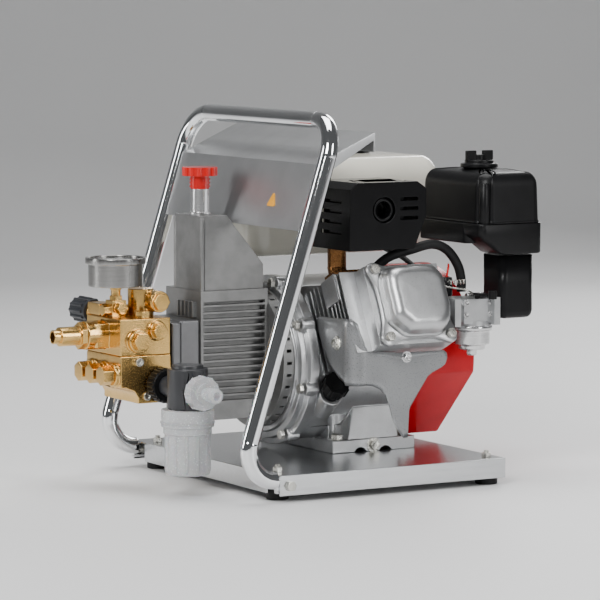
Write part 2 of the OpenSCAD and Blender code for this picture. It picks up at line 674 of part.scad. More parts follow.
module deflector() {
    t = 1.6;
    color("darkgray") {
        // left cheek beside the fins
        translate([30, 0, 0]) rotate([90, 0, 90]) linear_extrude(t)
            polygon([[sheet_y, 195], [-56, 193], [-56, 178], [-82, 137], [-116, 120], [sheet_y, 118]]);
        // front panel below the valve cover
        translate([0, sheet_y + t, 0]) rotate([90, 0, 0]) linear_extrude(t) polygon([
            [30, 195], [37.6, 188], [37.6, 157], [46, 156.4], [60, 156], [104, 153], [159, 153], [160, 145], [153, 135],
            [133, 127], [107, 88], [107, 56], [101, 55], [85, 80], [80, 103], [70, 114], [58, 119], [30, 118]]);
        // tab that carries the panel on the sump
        box3([97, 107], [sheet_y, -56], [62, 62 + t]);
    }
}
module oil_filler_plug() {
    color("black") translate(neck_at) rotate([50, 0, 0]) {
        translate([0, 0, 40 + gap]) cylinder(h = 12, r = 14.5);
        translate([0, 0, 14]) cylinder(h = 28, r = 9.7);
        for (a = [0:45:315]) rotate(a) translate([14, 0, 40 + gap]) cylinder(h = 12, r = 2.2);
    }
}
carb_y = -121;
carb_z = 198;
module carburettor() {
    color("silver") difference() {
        union() {
            rod_x([158 + gap, 222], 17, carb_y, carb_z);
            rod_z([181, 186], 21, 200, carb_y);
            box3([178, 218], [carb_y - 18, carb_y + 16], [184, 212]);
            box3([160, 168], [carb_y - 27, carb_y + 27], [carb_z - 16, carb_z + 16]);
            box3([214, 222], [carb_y - 27, carb_y + 27], [carb_z - 16, carb_z + 16]);
        }
        rod_x([150, 230], 10, carb_y, carb_z);
        rod_z([200, 230], 3.05, 200, carb_y - 12);
    }
}
module float_bowl() {
    color("lightgray") {
        rod_z([175, 181], 24, 200, carb_y);
        rod_z([158, 175], 21, 200, carb_y);
        rod_z([152, 158], 16, 200, carb_y);
        hex_z([145, 152], 7, 200, carb_y);
    }
}
module choke_lever() {
    color("black") {
        rod_z([203, 219], 3, 200, carb_y - 12);
        box3([196, 204], [carb_y - 46, carb_y - 8], [216, 219]);
        rod_z([214, 224], 5, 200, carb_y - 44);
    }
}
cleaner_x = [190, 267];
cleaner_y = [-158, -20];
module intake_duct() {
    color("black") difference() {
        round_box([222 + gap, 269], [carb_y - 29, carb_y + 16], [188, 262], 6);
        box3([228, 263], [carb_y - 24, carb_y + 11], [194, 263]);
        rod_x([220, 232], 10, carb_y, carb_z);
    }
}
module breather_hose() {
    color("black") translate([158, -100, 236]) rotate([90, 0, 0])
        rotate_extrude(angle = 90) translate([40, 0]) circle(5.5);
    color("black") rod_x([146, 158], 5.5, -100, 276);
    color("black") rod_z([218, 236], 5.5, 198, -100);
}
module air_cleaner_base() {
    color("dimgray") difference() {
        union() {
            translate([0, cleaner_y[0] + 48, 0]) rotate([90, 0, 0]) linear_extrude(48)
                polygon([[cleaner_x[0] + 26, 264], [275, 264], [275, 300], [cleaner_x[0] - 2, 300],
                    [cleaner_x[0] - 2, 286]]);
            box3([cleaner_x[0] - 2, 275], [cleaner_y[0] + 47, cleaner_y[1]], [276, 300]);
        }
        round_box([222 + 6, 263], [carb_y - 24, carb_y + 11], [263, 301], 4);
        rod_z([280, 301], 3, wing_at[0], wing_at[1]);
    }
}
wing_at = [228, -92];
cleaner_top = 362;
module air_cleaner_cover() {
    color("black") difference() {
        union() {
            round_box([cleaner_x[0], 274], cleaner_y, [300 + gap, 347], 12);
            round_box([cleaner_x[0] + 3, 271], cleaner_y + [3, -3], [346, 355], 10);
            round_box([cleaner_x[0] + 9, 265], cleaner_y + [9, -9], [354, cleaner_top], 8);
        }
        round_box([cleaner_x[0] + 5, 269], cleaner_y + [5, -5], [299, 343], 8);
        rod_z([340, 370], 3.3, wing_at[0], wing_at[1]);
    }
}
module wing_nut() {
    color("black") {
        rod_z([cleaner_top + gap, cleaner_top + 5], 22, wing_at[0], wing_at[1]);
        rod_z([cleaner_top + 4, cleaner_top + 9], 17, wing_at[0], wing_at[1]);
        rod_z([cleaner_top + 8, cleaner_top + 15], 7, wing_at[0], wing_at[1]);
        for (s = [-1, 1]) translate([wing_at[0], wing_at[1], cleaner_top + 8])
            box3(s < 0 ? [-18, -5] : [5, 18], [-2.5, 2.5], [0, 12]);
        rod_z([282, cleaner_top + 5], 2.7, wing_at[0], wing_at[1]);
    }
}
tank_x = [-10, 260];
tank_y = [27, 183];
tank_z = [256, 372];
module fuel_tank() {
    color("ivory") difference() {
        union() {
            round_box(tank_x + [14, -14], tank_y + [10, -10], [tank_z[0], tank_z[0] + 18], 24);
            round_box(tank_x, tank_y, [tank_z[0] + 16, tank_z[1] - 18], 24);
            round_box(tank_x + [12, -12], tank_y + [12, -12], [tank_z[1] - 19, tank_z[1]], 20);
        }
        round_box(tank_x + [6, -6], tank_y + [6, -6], [tank_z[0] + 20, tank_z[1] - 22], 18);
        rod_z([tank_z[1] - 25, tank_z[1] + 1], 16, fuel_cap_at[0], fuel_cap_at[1]);
    }
}
fuel_cap_at = [170, 110];
module fuel_cap() {
    color("dimgray") {
        rod_z([tank_z[1] + gap, tank_z[1] + 16], 26, fuel_cap_at[0], fuel_cap_at[1]);
        rod_z([tank_z[1] - 12, tank_z[1] + 1], 15.7, fuel_cap_at[0], fuel_cap_at[1]);
        for (a = [0:20:340])
            rod_z([tank_z[1] + 2, tank_z[1] + 15], 2.5, fuel_cap_at[0] + 25 * cos(a), fuel_cap_at[1] + 25 * sin(a));
    }
}
shroud_x = [164, 232];
shroud_r = 106;
// round housing with a flat towards the near bottom corner and a flat bottom
module shroud_outline(d = 0) {
    difference() {
        circle(shroud_r - d);
        rotate(-45) translate([-shroud_r, -150]) square([2 * shroud_r, 150 - 86 + d]);
        translate([-shroud_r, -150]) square([2 * shroud_r, 150 - (crank_z - deck - 8) + d]);
    }
}
module fan_shroud() {
    color("crimson") difference() {
        translate([shroud_x[0], crank_y, crank_z]) rotate([90, 0, 90])
            linear_extrude(shroud_x[1] - shroud_x[0]) shroud_outline();
        translate([shroud_x[0] + 3, crank_y, crank_z]) rotate([90, 0, 90])
            linear_extrude(shroud_x[1] - shroud_x[0] - 6) shroud_outline(3);
        crank_disc(shroud_x + [-1, 1], 57);
    }
}
module recoil_starter() {
    color("crimson") difference() {
        crank_disc([shroud_x[1] + gap, 252], 66);
        crank_disc([shroud_x[1] - 1, 248], 60);
        for (a = [0:30:330]) translate([0, crank_y, crank_z]) rotate([a, 0, 0])
            box3([247, 253], [-3, 3], [30, 54]);
    }
}
module recoil_handle() {
    color("black") {
        translate([245, crank_y, crank_z + 80]) rotate([0, 90, 0]) linear_extrude(12)
            round_rect(10, 34, 4.9);
        rod_z([crank_z + 73, crank_z + 76], 4, 251, crank_y);
    }
}

base_plate();
frame_hoop();
rubber_feet();
base_bolts();
hood();
frame_bolts();
gearbox_housing();
adapter_flange();
oil_filler_pipe();
oil_cap();
pump_gear();
pinion_gear();
pump_flange();
seal_rings();
plunger_1();
plunger_2();
plunger_3();
pump_manifold();
valve_block();
pressure_plugs();
manifold_screws();
unloader_valve();
regulator_knob();
outlet_nipple();
gauge_stem();
gauge_case();
gauge_lens();
gauge_needle();
inlet_nut();
strainer_head();
strainer_bowl();
strainer_mesh();
hose_barb();
crankcase();
side_cover();
crankshaft();
flywheel();
cylinder_barrel();
cylinder_head();
valve_cover();
head_fasteners();
spark_plug();
exhaust_pipe();
muffler();
muffler_guard();
deflector();
oil_filler_plug();
carburettor();
float_bowl();
choke_lever();
intake_duct();
breather_hose();
air_cleaner_base();
air_cleaner_cover();
wing_nut();
fuel_tank();
fuel_cap();
fan_shroud();
recoil_starter();
recoil_handle();
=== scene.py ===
import json
import math

import bpy
from mathutils import Matrix, Vector


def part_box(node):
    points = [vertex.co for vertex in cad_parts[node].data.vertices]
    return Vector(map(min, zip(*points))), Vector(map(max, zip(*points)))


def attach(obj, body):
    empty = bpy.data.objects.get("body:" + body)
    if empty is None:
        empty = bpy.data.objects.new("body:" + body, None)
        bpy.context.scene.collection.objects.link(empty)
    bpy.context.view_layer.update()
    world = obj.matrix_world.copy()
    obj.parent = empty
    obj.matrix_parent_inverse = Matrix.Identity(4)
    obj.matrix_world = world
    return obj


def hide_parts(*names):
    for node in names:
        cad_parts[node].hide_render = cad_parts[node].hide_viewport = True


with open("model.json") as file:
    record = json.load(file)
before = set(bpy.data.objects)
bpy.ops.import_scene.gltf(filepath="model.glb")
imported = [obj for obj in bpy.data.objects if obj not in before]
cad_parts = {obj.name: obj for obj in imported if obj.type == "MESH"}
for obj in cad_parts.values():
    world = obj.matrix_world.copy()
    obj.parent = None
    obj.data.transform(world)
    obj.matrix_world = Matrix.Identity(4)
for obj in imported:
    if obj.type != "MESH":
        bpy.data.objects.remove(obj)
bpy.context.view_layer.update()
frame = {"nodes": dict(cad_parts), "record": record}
NODES = frame["nodes"]
MM = 0.001                     # lengths are in mm, apart from the studio's and the camera's

# ---------------------------------------------------------------- materials


def surface(name, colour, metallic, rough, scale=30, stretch=(1, 1, 1), vary=0.08, rough_vary=0.12,
            fine=900, bump=0.05, coat=0.0, sub=0.0, transmission=0.0, alpha=1.0, ior=1.5):
    """A finish whose tone and gloss drift over the surface, with a fine grain in relief."""
    material = bpy.data.materials.new(name)
    material.use_nodes = True
    tree = material.node_tree
    shader = tree.nodes["Principled BSDF"]
    uniform = {"Metallic": metallic, "IOR": ior, "Coat Weight": coat, "Coat Roughness": 0.08,
               "Subsurface Weight": sub, "Subsurface Scale": 0.004,
               "Transmission Weight": transmission, "Alpha": alpha}
    for socket, value in uniform.items():
        shader.inputs[socket].default_value = value
    place = tree.nodes.new("ShaderNodeMapping")
    place.inputs["Scale"].default_value = stretch
    tree.links.new(tree.nodes.new("ShaderNodeTexCoord").outputs["Object"], place.inputs["Vector"])

    def noise(size, detail):
        node = tree.nodes.new("ShaderNodeTexNoise")
        node.inputs["Scale"].default_value = size
        node.inputs["Detail"].default_value = detail
        tree.links.new(place.outputs["Vector"], node.inputs["Vector"])
        return node.outputs["Fac"]

    broad, grain = noise(scale, 4), noise(fine, 2)
    tone = tree.nodes.new("ShaderNodeValToRGB")
    for stop, position, factor in zip(tone.color_ramp.elements, (0.32, 0.62), (1 - vary, 1 + vary)):
        stop.position = position
        stop.color = (*(min(1.0, c * factor) for c in colour), 1)
    tree.links.new(broad, tone.inputs["Fac"])
    tree.links.new(tone.outputs["Color"], shader.inputs["Base Color"])
    gloss = tree.nodes.new("ShaderNodeMapRange")
    gloss.inputs["From Min"].default_value = 0.3
    gloss.inputs["From Max"].default_value = 0.7
    gloss.inputs["To Min"].default_value = max(0.02, rough - rough_vary / 2)
    gloss.inputs["To Max"].default_value = min(1.0, rough + rough_vary / 2)
    tree.links.new(grain, gloss.inputs["Value"])
    tree.links.new(gloss.outputs["Result"], shader.inputs["Roughness"])
    relief = tree.nodes.new("ShaderNodeBump")
    relief.inputs["Strength"].default_value = bump
    relief.inputs["Distance"].default_value = 0.0004
    tree.links.new(grain, relief.inputs["Height"])
    tree.links.new(relief.outputs["Normal"], shader.inputs["Normal"])
    return material


FINISH = {
    "plate_steel": surface("plate_steel", (0.62, 0.63, 0.64), metallic=1.0, rough=0.22, scale=18,
        stretch=(1, 14, 14), vary=0.05, fine=500),
    "chrome_tube": surface("chrome_tube", (0.86, 0.87, 0.88), metallic=1.0, rough=0.06, scale=12,
        vary=0.04, rough_vary=0.05, fine=300, bump=0.01),
    "hood_steel": surface("hood_steel", (0.44, 0.445, 0.45), metallic=1.0, rough=0.42, scale=25,
        vary=0.05, fine=1600, bump=0.16),
    "zinc": surface("zinc", (0.66, 0.65, 0.60), metallic=1.0, rough=0.30, scale=120, vary=0.12,
        rough_vary=0.15, bump=0.08),
    "cast_gear": surface("cast_gear", (0.235, 0.235, 0.232), metallic=0.85, rough=0.46, scale=45,
        vary=0.12, rough_vary=0.10, fine=1300, bump=0.30),
    "cast_engine": surface("cast_engine", (0.52, 0.525, 0.53), metallic=0.95, rough=0.34, scale=40,
        rough_vary=0.14, fine=1100, bump=0.18),
    "turned_steel": surface("turned_steel", (0.70, 0.70, 0.70), metallic=1.0, rough=0.24, scale=60,
        stretch=(1, 1, 16), fine=400, bump=0.06),
    "brass": surface("brass", (0.74, 0.47, 0.16), metallic=1.0, rough=0.24, scale=38, vary=0.06,
        rough_vary=0.10, bump=0.035),
    "red_plastic": surface("red_plastic", (0.62, 0.012, 0.010), metallic=0.0, rough=0.20, vary=0.06,
        rough_vary=0.06, bump=0.02, coat=0.5),
    "red_paint": surface("red_paint", (0.56, 0.002, 0.010), metallic=0.0, rough=0.22, vary=0.06,
        rough_vary=0.06, bump=0.01, ior=1.35),
    "rubber": surface("rubber", (0.012, 0.012, 0.0125), metallic=0.0, rough=0.50, scale=60, vary=0.2,
        bump=0.12, ior=1.3),
    "black_plastic": surface("black_plastic", (0.007, 0.007, 0.0075), metallic=0.0, rough=0.34,
        scale=50, vary=0.15, fine=2200, bump=0.10, ior=1.28),
    "black_paint": surface("black_paint", (0.004, 0.004, 0.0045), metallic=0.0, rough=0.20, scale=50,
        vary=0.2, rough_vary=0.06, fine=700, bump=0.015, ior=1.36),
    "ceramic": surface("ceramic", (0.88, 0.88, 0.86), metallic=0.0, rough=0.12, scale=50, vary=0.03,
        bump=0.01),
    "milky_plastic": surface("milky_plastic", (0.86, 0.87, 0.88), metallic=0.0, rough=0.24, scale=40,
        vary=0.04, rough_vary=0.08, bump=0.03, sub=0.12, transmission=0.62, ior=1.3),
    "mesh_steel": surface("mesh_steel", (0.55, 0.55, 0.55), metallic=1.0, rough=0.4, scale=40, vary=0.3,
        fine=2500, bump=0.6),
    "gauge_steel": surface("gauge_steel", (0.36, 0.355, 0.345), metallic=1.0, rough=0.22,
        stretch=(1, 1, 22), vary=0.07, fine=260, bump=0.04),
    "lens": surface("lens", (0.95, 0.97, 0.98), metallic=0.0, rough=0.04, vary=0.01, rough_vary=0.02,
        bump=0.0, transmission=1.0, alpha=0.45),
    "needle_black": surface("needle_black", (0.02, 0.02, 0.02), metallic=0.0, rough=0.4, scale=60),
    "iron": surface("iron", (0.30, 0.30, 0.31), metallic=0.9, rough=0.42, scale=60, vary=0.15,
        bump=0.12),
    "exhaust_bronze": surface("exhaust_bronze", (0.22, 0.10, 0.034), metallic=0.9, rough=0.25, scale=42,
        stretch=(1, 1, 2.2), vary=0.35, rough_vary=0.16, fine=500),
    "grey_paint": surface("grey_paint", (0.27, 0.275, 0.28), metallic=0.55, rough=0.30, scale=22,
        vary=0.07, rough_vary=0.08, bump=0.04, coat=0.2),
    "cream_tank": surface("cream_tank", (0.76, 0.735, 0.64), metallic=0.0, rough=0.20, scale=15,
        vary=0.03, rough_vary=0.06, fine=600, bump=0.02, coat=0.6),
    "dark_plastic": surface("dark_plastic", (0.024, 0.026, 0.030), metallic=0.0, rough=0.42, scale=60,
        vary=0.15, fine=2000, bump=0.12, ior=1.35),
}
HEAD_GREY = surface("head_grey", (0.026, 0.027, 0.030), metallic=0.0, rough=0.36, scale=50, vary=0.1,
    rough_vary=0.1, bump=0.08)
STICKER = surface("sticker_amber", (0.80, 0.36, 0.02), metallic=0.0, rough=0.35, scale=60, vary=0.05,
    bump=0.02, coat=0.3)
DIAL_WHITE = surface("dial_white", (0.82, 0.82, 0.80), metallic=0.0, rough=0.45, scale=80, vary=0.03,
    bump=0.02)
FLANGE_GREY = surface("flange_grey", (0.20, 0.20, 0.205), metallic=0.85, rough=0.34, scale=40,
    rough_vary=0.1, fine=1100, bump=0.12)
INK = surface("dial_ink", (0.02, 0.02, 0.02), metallic=0.0, rough=0.5, scale=80, vary=0.1, bump=0.02)

# ---------------------------------------------------------------- CAD bodies
SLOT_OF = {s["node"]: s["material_slot"] for s in frame["record"]["subparts"]}
OWN_FINISH = {"strainer_head": HEAD_GREY, "pump_flange": FLANGE_GREY}
EDGE_REST = 0.5                # rounding of sharp edges
EDGE = {
    "base_plate": 0.7, "hood": 0.8, "frame_hoop": 0.0, "rubber_feet": 1.5,
    "gearbox_housing": 0.6, "oil_cap": 0.8, "pinion_gear": 0.15, "pump_gear": 0.15, "pump_flange": 2.0,
    "seal_rings": 0.2, "pump_manifold": 1.3, "valve_block": 1.2, "pressure_plugs": 0.8,
    "unloader_valve": 0.9, "regulator_knob": 0.4, "gauge_case": 0.9, "gauge_lens": 0.1,
    "gauge_needle": 0.1, "strainer_head": 1.2, "strainer_bowl": 0.8, "strainer_mesh": 0.2,
    "crankcase": 1.2, "side_cover": 1.2, "carburettor": 1.2, "float_bowl": 2.0, "wing_nut": 0.9,
    "fuel_cap": 1.5, "fan_shroud": 2.0, "recoil_starter": 0.8,
}
# bodies whose flat sides are made one face each before their edges are rounded
FLAT_SIDED = {"pump_manifold", "valve_block", "unloader_valve", "crankcase", "muffler_guard",
              "pump_flange", "base_plate"}
# bodies with edges too short for the full rounding
CLAMPED = {"oil_cap", "oil_filler_plug", "hose_barb", "carburettor", "fuel_cap"}


def weigh_normals(o, weight):
    """Large faces keep their own shading, and small ones blend between them."""
    normals = o.modifiers.new("normals", "WEIGHTED_NORMAL")
    normals.weight = weight
    normals.keep_sharp = False


def soften(o):
    """Rounds a body's sharp edges and evens its normals."""
    for face in o.data.polygons:
        face.use_smooth = True
    weld = o.modifiers.new("weld", "WELD")
    weld.merge_threshold = 0.00001
    if o.name in FLAT_SIDED:
        flat = o.modifiers.new("flat", "DECIMATE")
        flat.decimate_type = "DISSOLVE"
        flat.angle_limit = math.radians(0.6)
    width = EDGE.get(o.name, EDGE_REST)
    if width > 0:
        edges = o.modifiers.new("edges", "BEVEL")
        edges.width = width * MM
        edges.segments = 2
        edges.limit_method = "ANGLE"
        edges.angle_limit = math.radians(38)
        edges.use_clamp_overlap = o.name in CLAMPED
        edges.miter_outer = "MITER_ARC"
    weigh_normals(o, 90)


for name, node in NODES.items():
    node.data.materials.clear()
    node.data.materials.append(OWN_FINISH.get(name) or FINISH[SLOT_OF[name]])
    soften(node)

# ---------------------------------------------------------------- shape helpers


def piece(name, shape, slot, stands_for=None, finish=None, smooth=True, at=None):
    """A mesh of (verts, faces), in the row frame or in the frame `at`, fixed to the machine."""
    verts, faces = shape
    place = at or Matrix.Identity(4)
    mesh = bpy.data.meshes.new(name)
    mesh.from_pydata([(place @ Vector(v)) * MM for v in verts], [], faces)
    mesh.validate()
    mesh.update()
    o = bpy.data.objects.new(name, mesh)
    bpy.context.scene.collection.objects.link(o)
    mesh.materials.append(finish or FINISH[slot])
    for face in mesh.polygons:
        face.use_smooth = smooth
    if stands_for:
        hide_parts(stands_for)
    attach(o, "machine")
    return o


def box_mm(node):
    """Low and high corner of a CAD body's box."""
    return (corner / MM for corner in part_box(node))


def loft(rings):
    """Skin over closed rings of equal length, with both ends capped."""
    n = len(rings[0])
    verts = [v for ring in rings for v in ring]
    faces = []
    for i in range(len(rings) - 1):
        for j in range(n):
            k = (j + 1) % n
            faces.append((i * n + j, i * n + k, (i + 1) * n + k, (i + 1) * n + j))
    faces.append(tuple(reversed(range(n))))
    faces.append(tuple(range((len(rings) - 1) * n, len(rings) * n)))
    return verts, faces


def circle(r, z, sides, centre=(0, 0)):
    """Ring of radius r at height z."""
    angles = [2 * math.pi * i / sides for i in range(sides)]
    return [(centre[0] + r * math.cos(a), centre[1] + r * math.sin(a), z) for a in angles]


def round_ring(x, y, r, z, steps=8):
    """Rectangle x, y with round corners at height z."""
    corners = ((x[1] - r, y[1] - r), (x[0] + r, y[1] - r), (x[0] + r, y[0] + r), (x[1] - r, y[0] + r))
    ring = []
    for quadrant, (cx, cy) in enumerate(corners):
        for i in range(steps + 1):
            a = math.radians(90 * quadrant + 90 * i / steps)
            ring.append((cx + r * math.cos(a), cy + r * math.sin(a), z))
    return ring


def flow(p0, p1, p2, p3, t):
    """Point at t from p1 to p2 on the smooth curve through four points."""
    return 0.5 * (2 * p1 + (p2 - p0) * t + (2 * p0 - 5 * p1 + 4 * p2 - p3) * t * t
                  + (3 * p1 - p0 - 3 * p2 + p3) * t ** 3)


def flow_ring(points, z, per=6):
    """Closed smooth curve through points, at height z."""
    n = len(points)
    ring = []
    for i in range(n):
        near = [Vector(points[(i + k - 1) % n]) for k in range(4)]
        ring += [(*flow(*near, s / per), z) for s in range(per)]
    return ring


def shrink(ring, d, z):
    """The ring drawn in by d along its own normals, at height z."""
    n = len(ring)
    out = []
    for i in range(n):
        before, after = ring[i - 1], ring[(i + 1) % n]
        dx, dy = after[0] - before[0], after[1] - before[1]
        length = math.hypot(dx, dy) or 1.0
        out.append((ring[i][0] - dy / length * d, ring[i][1] + dx / length * d, z))
    return out


def scale_ring(ring, k, z, centre=(0, 0)):
    """The ring scaled by k about a centre, at height z."""
    cx, cy = centre
    return [(cx + (x - cx) * k, cy + (y - cy) * k, z) for x, y, _ in ring]


def quarter(radius, steps):
    """(inset, rise) pairs of a quarter circle from the wall to the top."""
    angles = [math.radians(90 * i / steps) for i in range(1, steps + 1)]
    return [(radius * (1 - math.cos(a)), radius * math.sin(a)) for a in angles]


def facing(at, out):
    """Frame at a point whose z axis points along out."""
    return Matrix.Translation(Vector(at)) @ Vector(out).to_track_quat("Z", "Y").to_matrix().to_4x4()


def rod(name, start, end, r, slot):
    """Round bar between two points, with broken edges."""
    run = Vector(end) - Vector(start)
    h = run.length
    edge = min(0.6, r * 0.25)
    rings = [circle(q, z, 20) for q, z in ((r - edge, 0), (r, edge), (r, h - edge), (r - edge, h))]
    return piece(name, loft(rings), slot, at=facing(start, run))


def tube(name, points, r, slot, stands_for=None, sides=14, per=8):
    """Round tube along a smooth open path."""
    points = [Vector(p) for p in points]
    points = [points[0] * 2 - points[1]] + points + [points[-1] * 2 - points[-2]]
    path = [flow(*points[i - 1:i + 3], k / per) for i in range(1, len(points) - 2) for k in range(per)]
    path.append(points[-2])
    side = (path[1] - path[0]).orthogonal().normalized()
    rings = []
    for i, p in enumerate(path):
        along = (path[min(i + 1, len(path) - 1)] - path[max(i - 1, 0)]).normalized()
        side = (side - along * side.dot(along)).normalized()
        up = along.cross(side)
        rings.append([tuple(p + side * x + up * y) for x, y, _ in circle(r, 0, sides)])
    return piece(name, loft(rings), slot, stands_for)


def bolt(name, at, out, r, h, slot="zinc"):
    """Hexagon head on a flange, facing out along the vector."""
    sides = 24

    def hexagon(k, z):
        ring = []
        for i in range(sides):
            a = 2 * math.pi * i / sides
            reach = k * r * math.cos(math.pi / 6) / math.cos(a % (math.pi / 3) - math.pi / 6)
            ring.append((reach * math.cos(a), reach * math.sin(a), z))
        return ring

    rings = [circle(r * k, z, sides) for k, z in ((1.45, 0), (1.5, 0.4), (1.4, 1.1))]
    rings += [hexagon(1.0, 1.1), hexagon(1.0, h - 0.5), hexagon(0.86, h), hexagon(0.45 * 0.86, h - 0.5)]
    return piece(name, loft(rings), slot, at=facing(at, out), smooth=False)


# ---------------------------------------------------------------- valve cover
CRANK = (28.0, 136.0)          # crank axis, y and z
TILT = 25.0                    # the cylinder leans up from the horizontal
COVER_AT = 109.0               # middle of the valve cover along the crank axis
COVER_S = 175.3                # crank axis to the valve cover's joint face
LEAN = Matrix.Translation((COVER_AT, *CRANK)) @ Matrix.Rotation(math.radians(90 - TILT), 4, "X")
FLANGE_OUTLINE = [             # with an ear at each screw
    (46, 0), (46.5, 22), (44, 38), (34, 45.5), (0, 46.5), (-26, 46), (-35, 49.5), (-42, 50.5),
    (-49, 47), (-50.5, 40), (-47.5, 32), (-44, 20), (-43, 0), (-44, -20), (-48, -33), (-50.5, -41),
    (-47.5, -48), (-41, -50.5), (-33, -48), (-22, -44), (0, -43), (22, -44), (33, -48), (41, -50.5),
    (48, -47.5), (50.5, -41), (49, -32), (46.5, -20)]
WALL_OUTLINE = [
    (43, 0), (43, 16), (41, 30), (31, 40), (14, 43), (-8, 43), (-27, 41.5), (-37, 34), (-40, 18),
    (-40, 0), (-40, -16), (-38.5, -25), (-30, -34.5), (-22, -41), (-12, -43), (6, -43), (22, -43),
    (31, -39), (39, -29), (42.5, -16)]


def valve_cover():
    flange = flow_ring(FLANGE_OUTLINE, COVER_S)
    rim = [shrink(flange, d, COVER_S + rise) for d, rise in ((0, 0), (0, 4.6), (0.5, 5.6), (1.6, 6.2))]
    piece("valve_cover_flange", loft(rim), "cast_engine", "valve_cover", at=LEAN)
    foot = flow_ring(WALL_OUTLINE, COVER_S + 5)
    wall = ((0.3, 9), (1.4, 10.2), (2.2, 10.8), (2.8, 13))
    dome = [foot] + [shrink(foot, d, COVER_S + rise) for d, rise in wall]
    half_width = 43
    for inset, rise in quarter(12.5, 8):
        dome.append(scale_ring(foot, 1 - (3.2 + inset) / half_width, COVER_S + 17 + rise))
    top = dome[-1][0][2]
    for i, k in enumerate((0.5, 0.35, 0.2, 0.08)):
        dome.append(scale_ring(foot, k, top + 0.08 * (i + 1)))
    weigh_normals(piece("valve_cover_dome", loft(dome), "cast_engine", "valve_cover", at=LEAN), 80)


valve_cover()

# ---------------------------------------------------------------- air cleaner, tank and duct


def air_cleaner_cover():
    lo, hi = box_mm("air_cleaner_cover")
    notch = 15.0               # hollow at the front corner, for the pillar
    steps = 8
    outline = round_ring((lo.x, hi.x), (lo.y, hi.y), 12, lo.z, steps)
    hollow = [(0, notch + 4), (0.8, notch), (4, notch - 3), (notch - 5, notch - 5), (notch - 3, 4),
              (notch - 0.5, 0.8), (notch + 3, 0)]
    corner = steps + 1         # points in one round corner, of which the third gives way
    outline[2 * corner:3 * corner] = [(lo.x + dx, lo.y + dy, lo.z) for dx, dy in hollow]
    top_r = 17.0
    skin = [outline] + [shrink(outline, d, lo.z + rise) for d, rise in ((0, 1.2), (0.9, 2.0), (1.2, 3.2))]
    shoulder, draft = hi.z - top_r - 3, 2.6
    skin.append(shrink(outline, draft, shoulder))
    skin += [shrink(outline, draft + inset * 0.8, shoulder + rise) for inset, rise in quarter(top_r, 7)]
    middle = ((lo.x + hi.x) / 2, (lo.y + hi.y) / 2)
    skin.append(scale_ring(skin[-1], 0.55, hi.z - 0.6, middle))
    weigh_normals(piece("air_cleaner_shell", loft(skin), "black_plastic", "air_cleaner_cover"), 80)
    x, y = lo.x + 8.5, lo.y + 8.5
    rod("air_cleaner_pillar", (x, y, lo.z - 12), (x, y, hi.z - 15), 6.2, "black_plastic")
    rod("air_cleaner_clip", (x - 4.5, y - 4.5, lo.z - 8), (x - 5.5, y - 5.5, lo.z - 1), 3.0, "black_plastic")


def fuel_tank():
    lo, hi = box_mm("fuel_tank")
    base = round_ring((lo.x, hi.x), (lo.y, hi.y), 26, lo.z)
    belly = ((16, 0), (13, 0.6), (7, 3), (2, 8), (0, 16), (0, 46), (0, 47), (0, 50), (1.5, 51))
    skin = [shrink(base, d, lo.z + rise) for d, rise in belly]
    inset, drop = 2.0, 32.0    # of the upper half, and from the top down to its wall
    skin.append(shrink(base, inset, hi.z - drop))
    for across, up in quarter(1.0, 9):
        skin.append(shrink(base, inset + across * 24, hi.z - drop + up * (drop - 2)))
    middle = ((lo.x + hi.x) / 2, (lo.y + hi.y) / 2)
    skin.append(scale_ring(skin[-1], 0.4, hi.z, middle))
    weigh_normals(piece("fuel_tank_shell", loft(skin), "cream_tank", "fuel_tank"), 80)


def intake_duct():
    lo, hi = box_mm("intake_duct")
    outline = round_ring((lo.x, hi.x), (lo.y, hi.y), 9, lo.z, 6)
    profile = ((9, lo.z), (4, lo.z + 1.2), (1.4, lo.z + 4), (0, lo.z + 9), (0.4, lo.z + 40), (0, hi.z))
    skin = [shrink(outline, d, z) for d, z in profile]
    weigh_normals(piece("intake_duct_shell", loft(skin), "black_plastic", "intake_duct"), 80)


def air_cleaner_base():
    """A deep front half with a sloping left end, and a shallower back half."""
    lo, hi = box_mm("air_cleaner_base")
    rim = ((hi.z - 1.6, 0, 0), (hi.z - 0.5, 0, 0.5), (hi.z, 0, 1.6))        # height, left end, inset
    slope = ((lo.z, 30, 1.6), (lo.z + 0.6, 28.5, 0.5), (lo.z + 2, 26, 0), (lo.z + 20, 3, 0),
             (lo.z + 23, 0.6, 0))
    foot = ((lo.z + 12, 0, 1.6), (lo.z + 12.5, 0, 0.5), (lo.z + 13.6, 0, 0))
    halves = (("front", slope + rim, (lo.y, lo.y + 48)), ("back", foot + rim, (lo.y + 30, hi.y)))
    for end, profile, y in halves:
        skin = [round_ring((lo.x + left + d, hi.x - d), (y[0] + d, y[1] - d), 9, z, 7)
                for z, left, d in profile]
        piece("cleaner_base_" + end, loft(skin), "black_plastic", "air_cleaner_base")


air_cleaner_cover()
fuel_tank()
intake_duct()
air_cleaner_base()

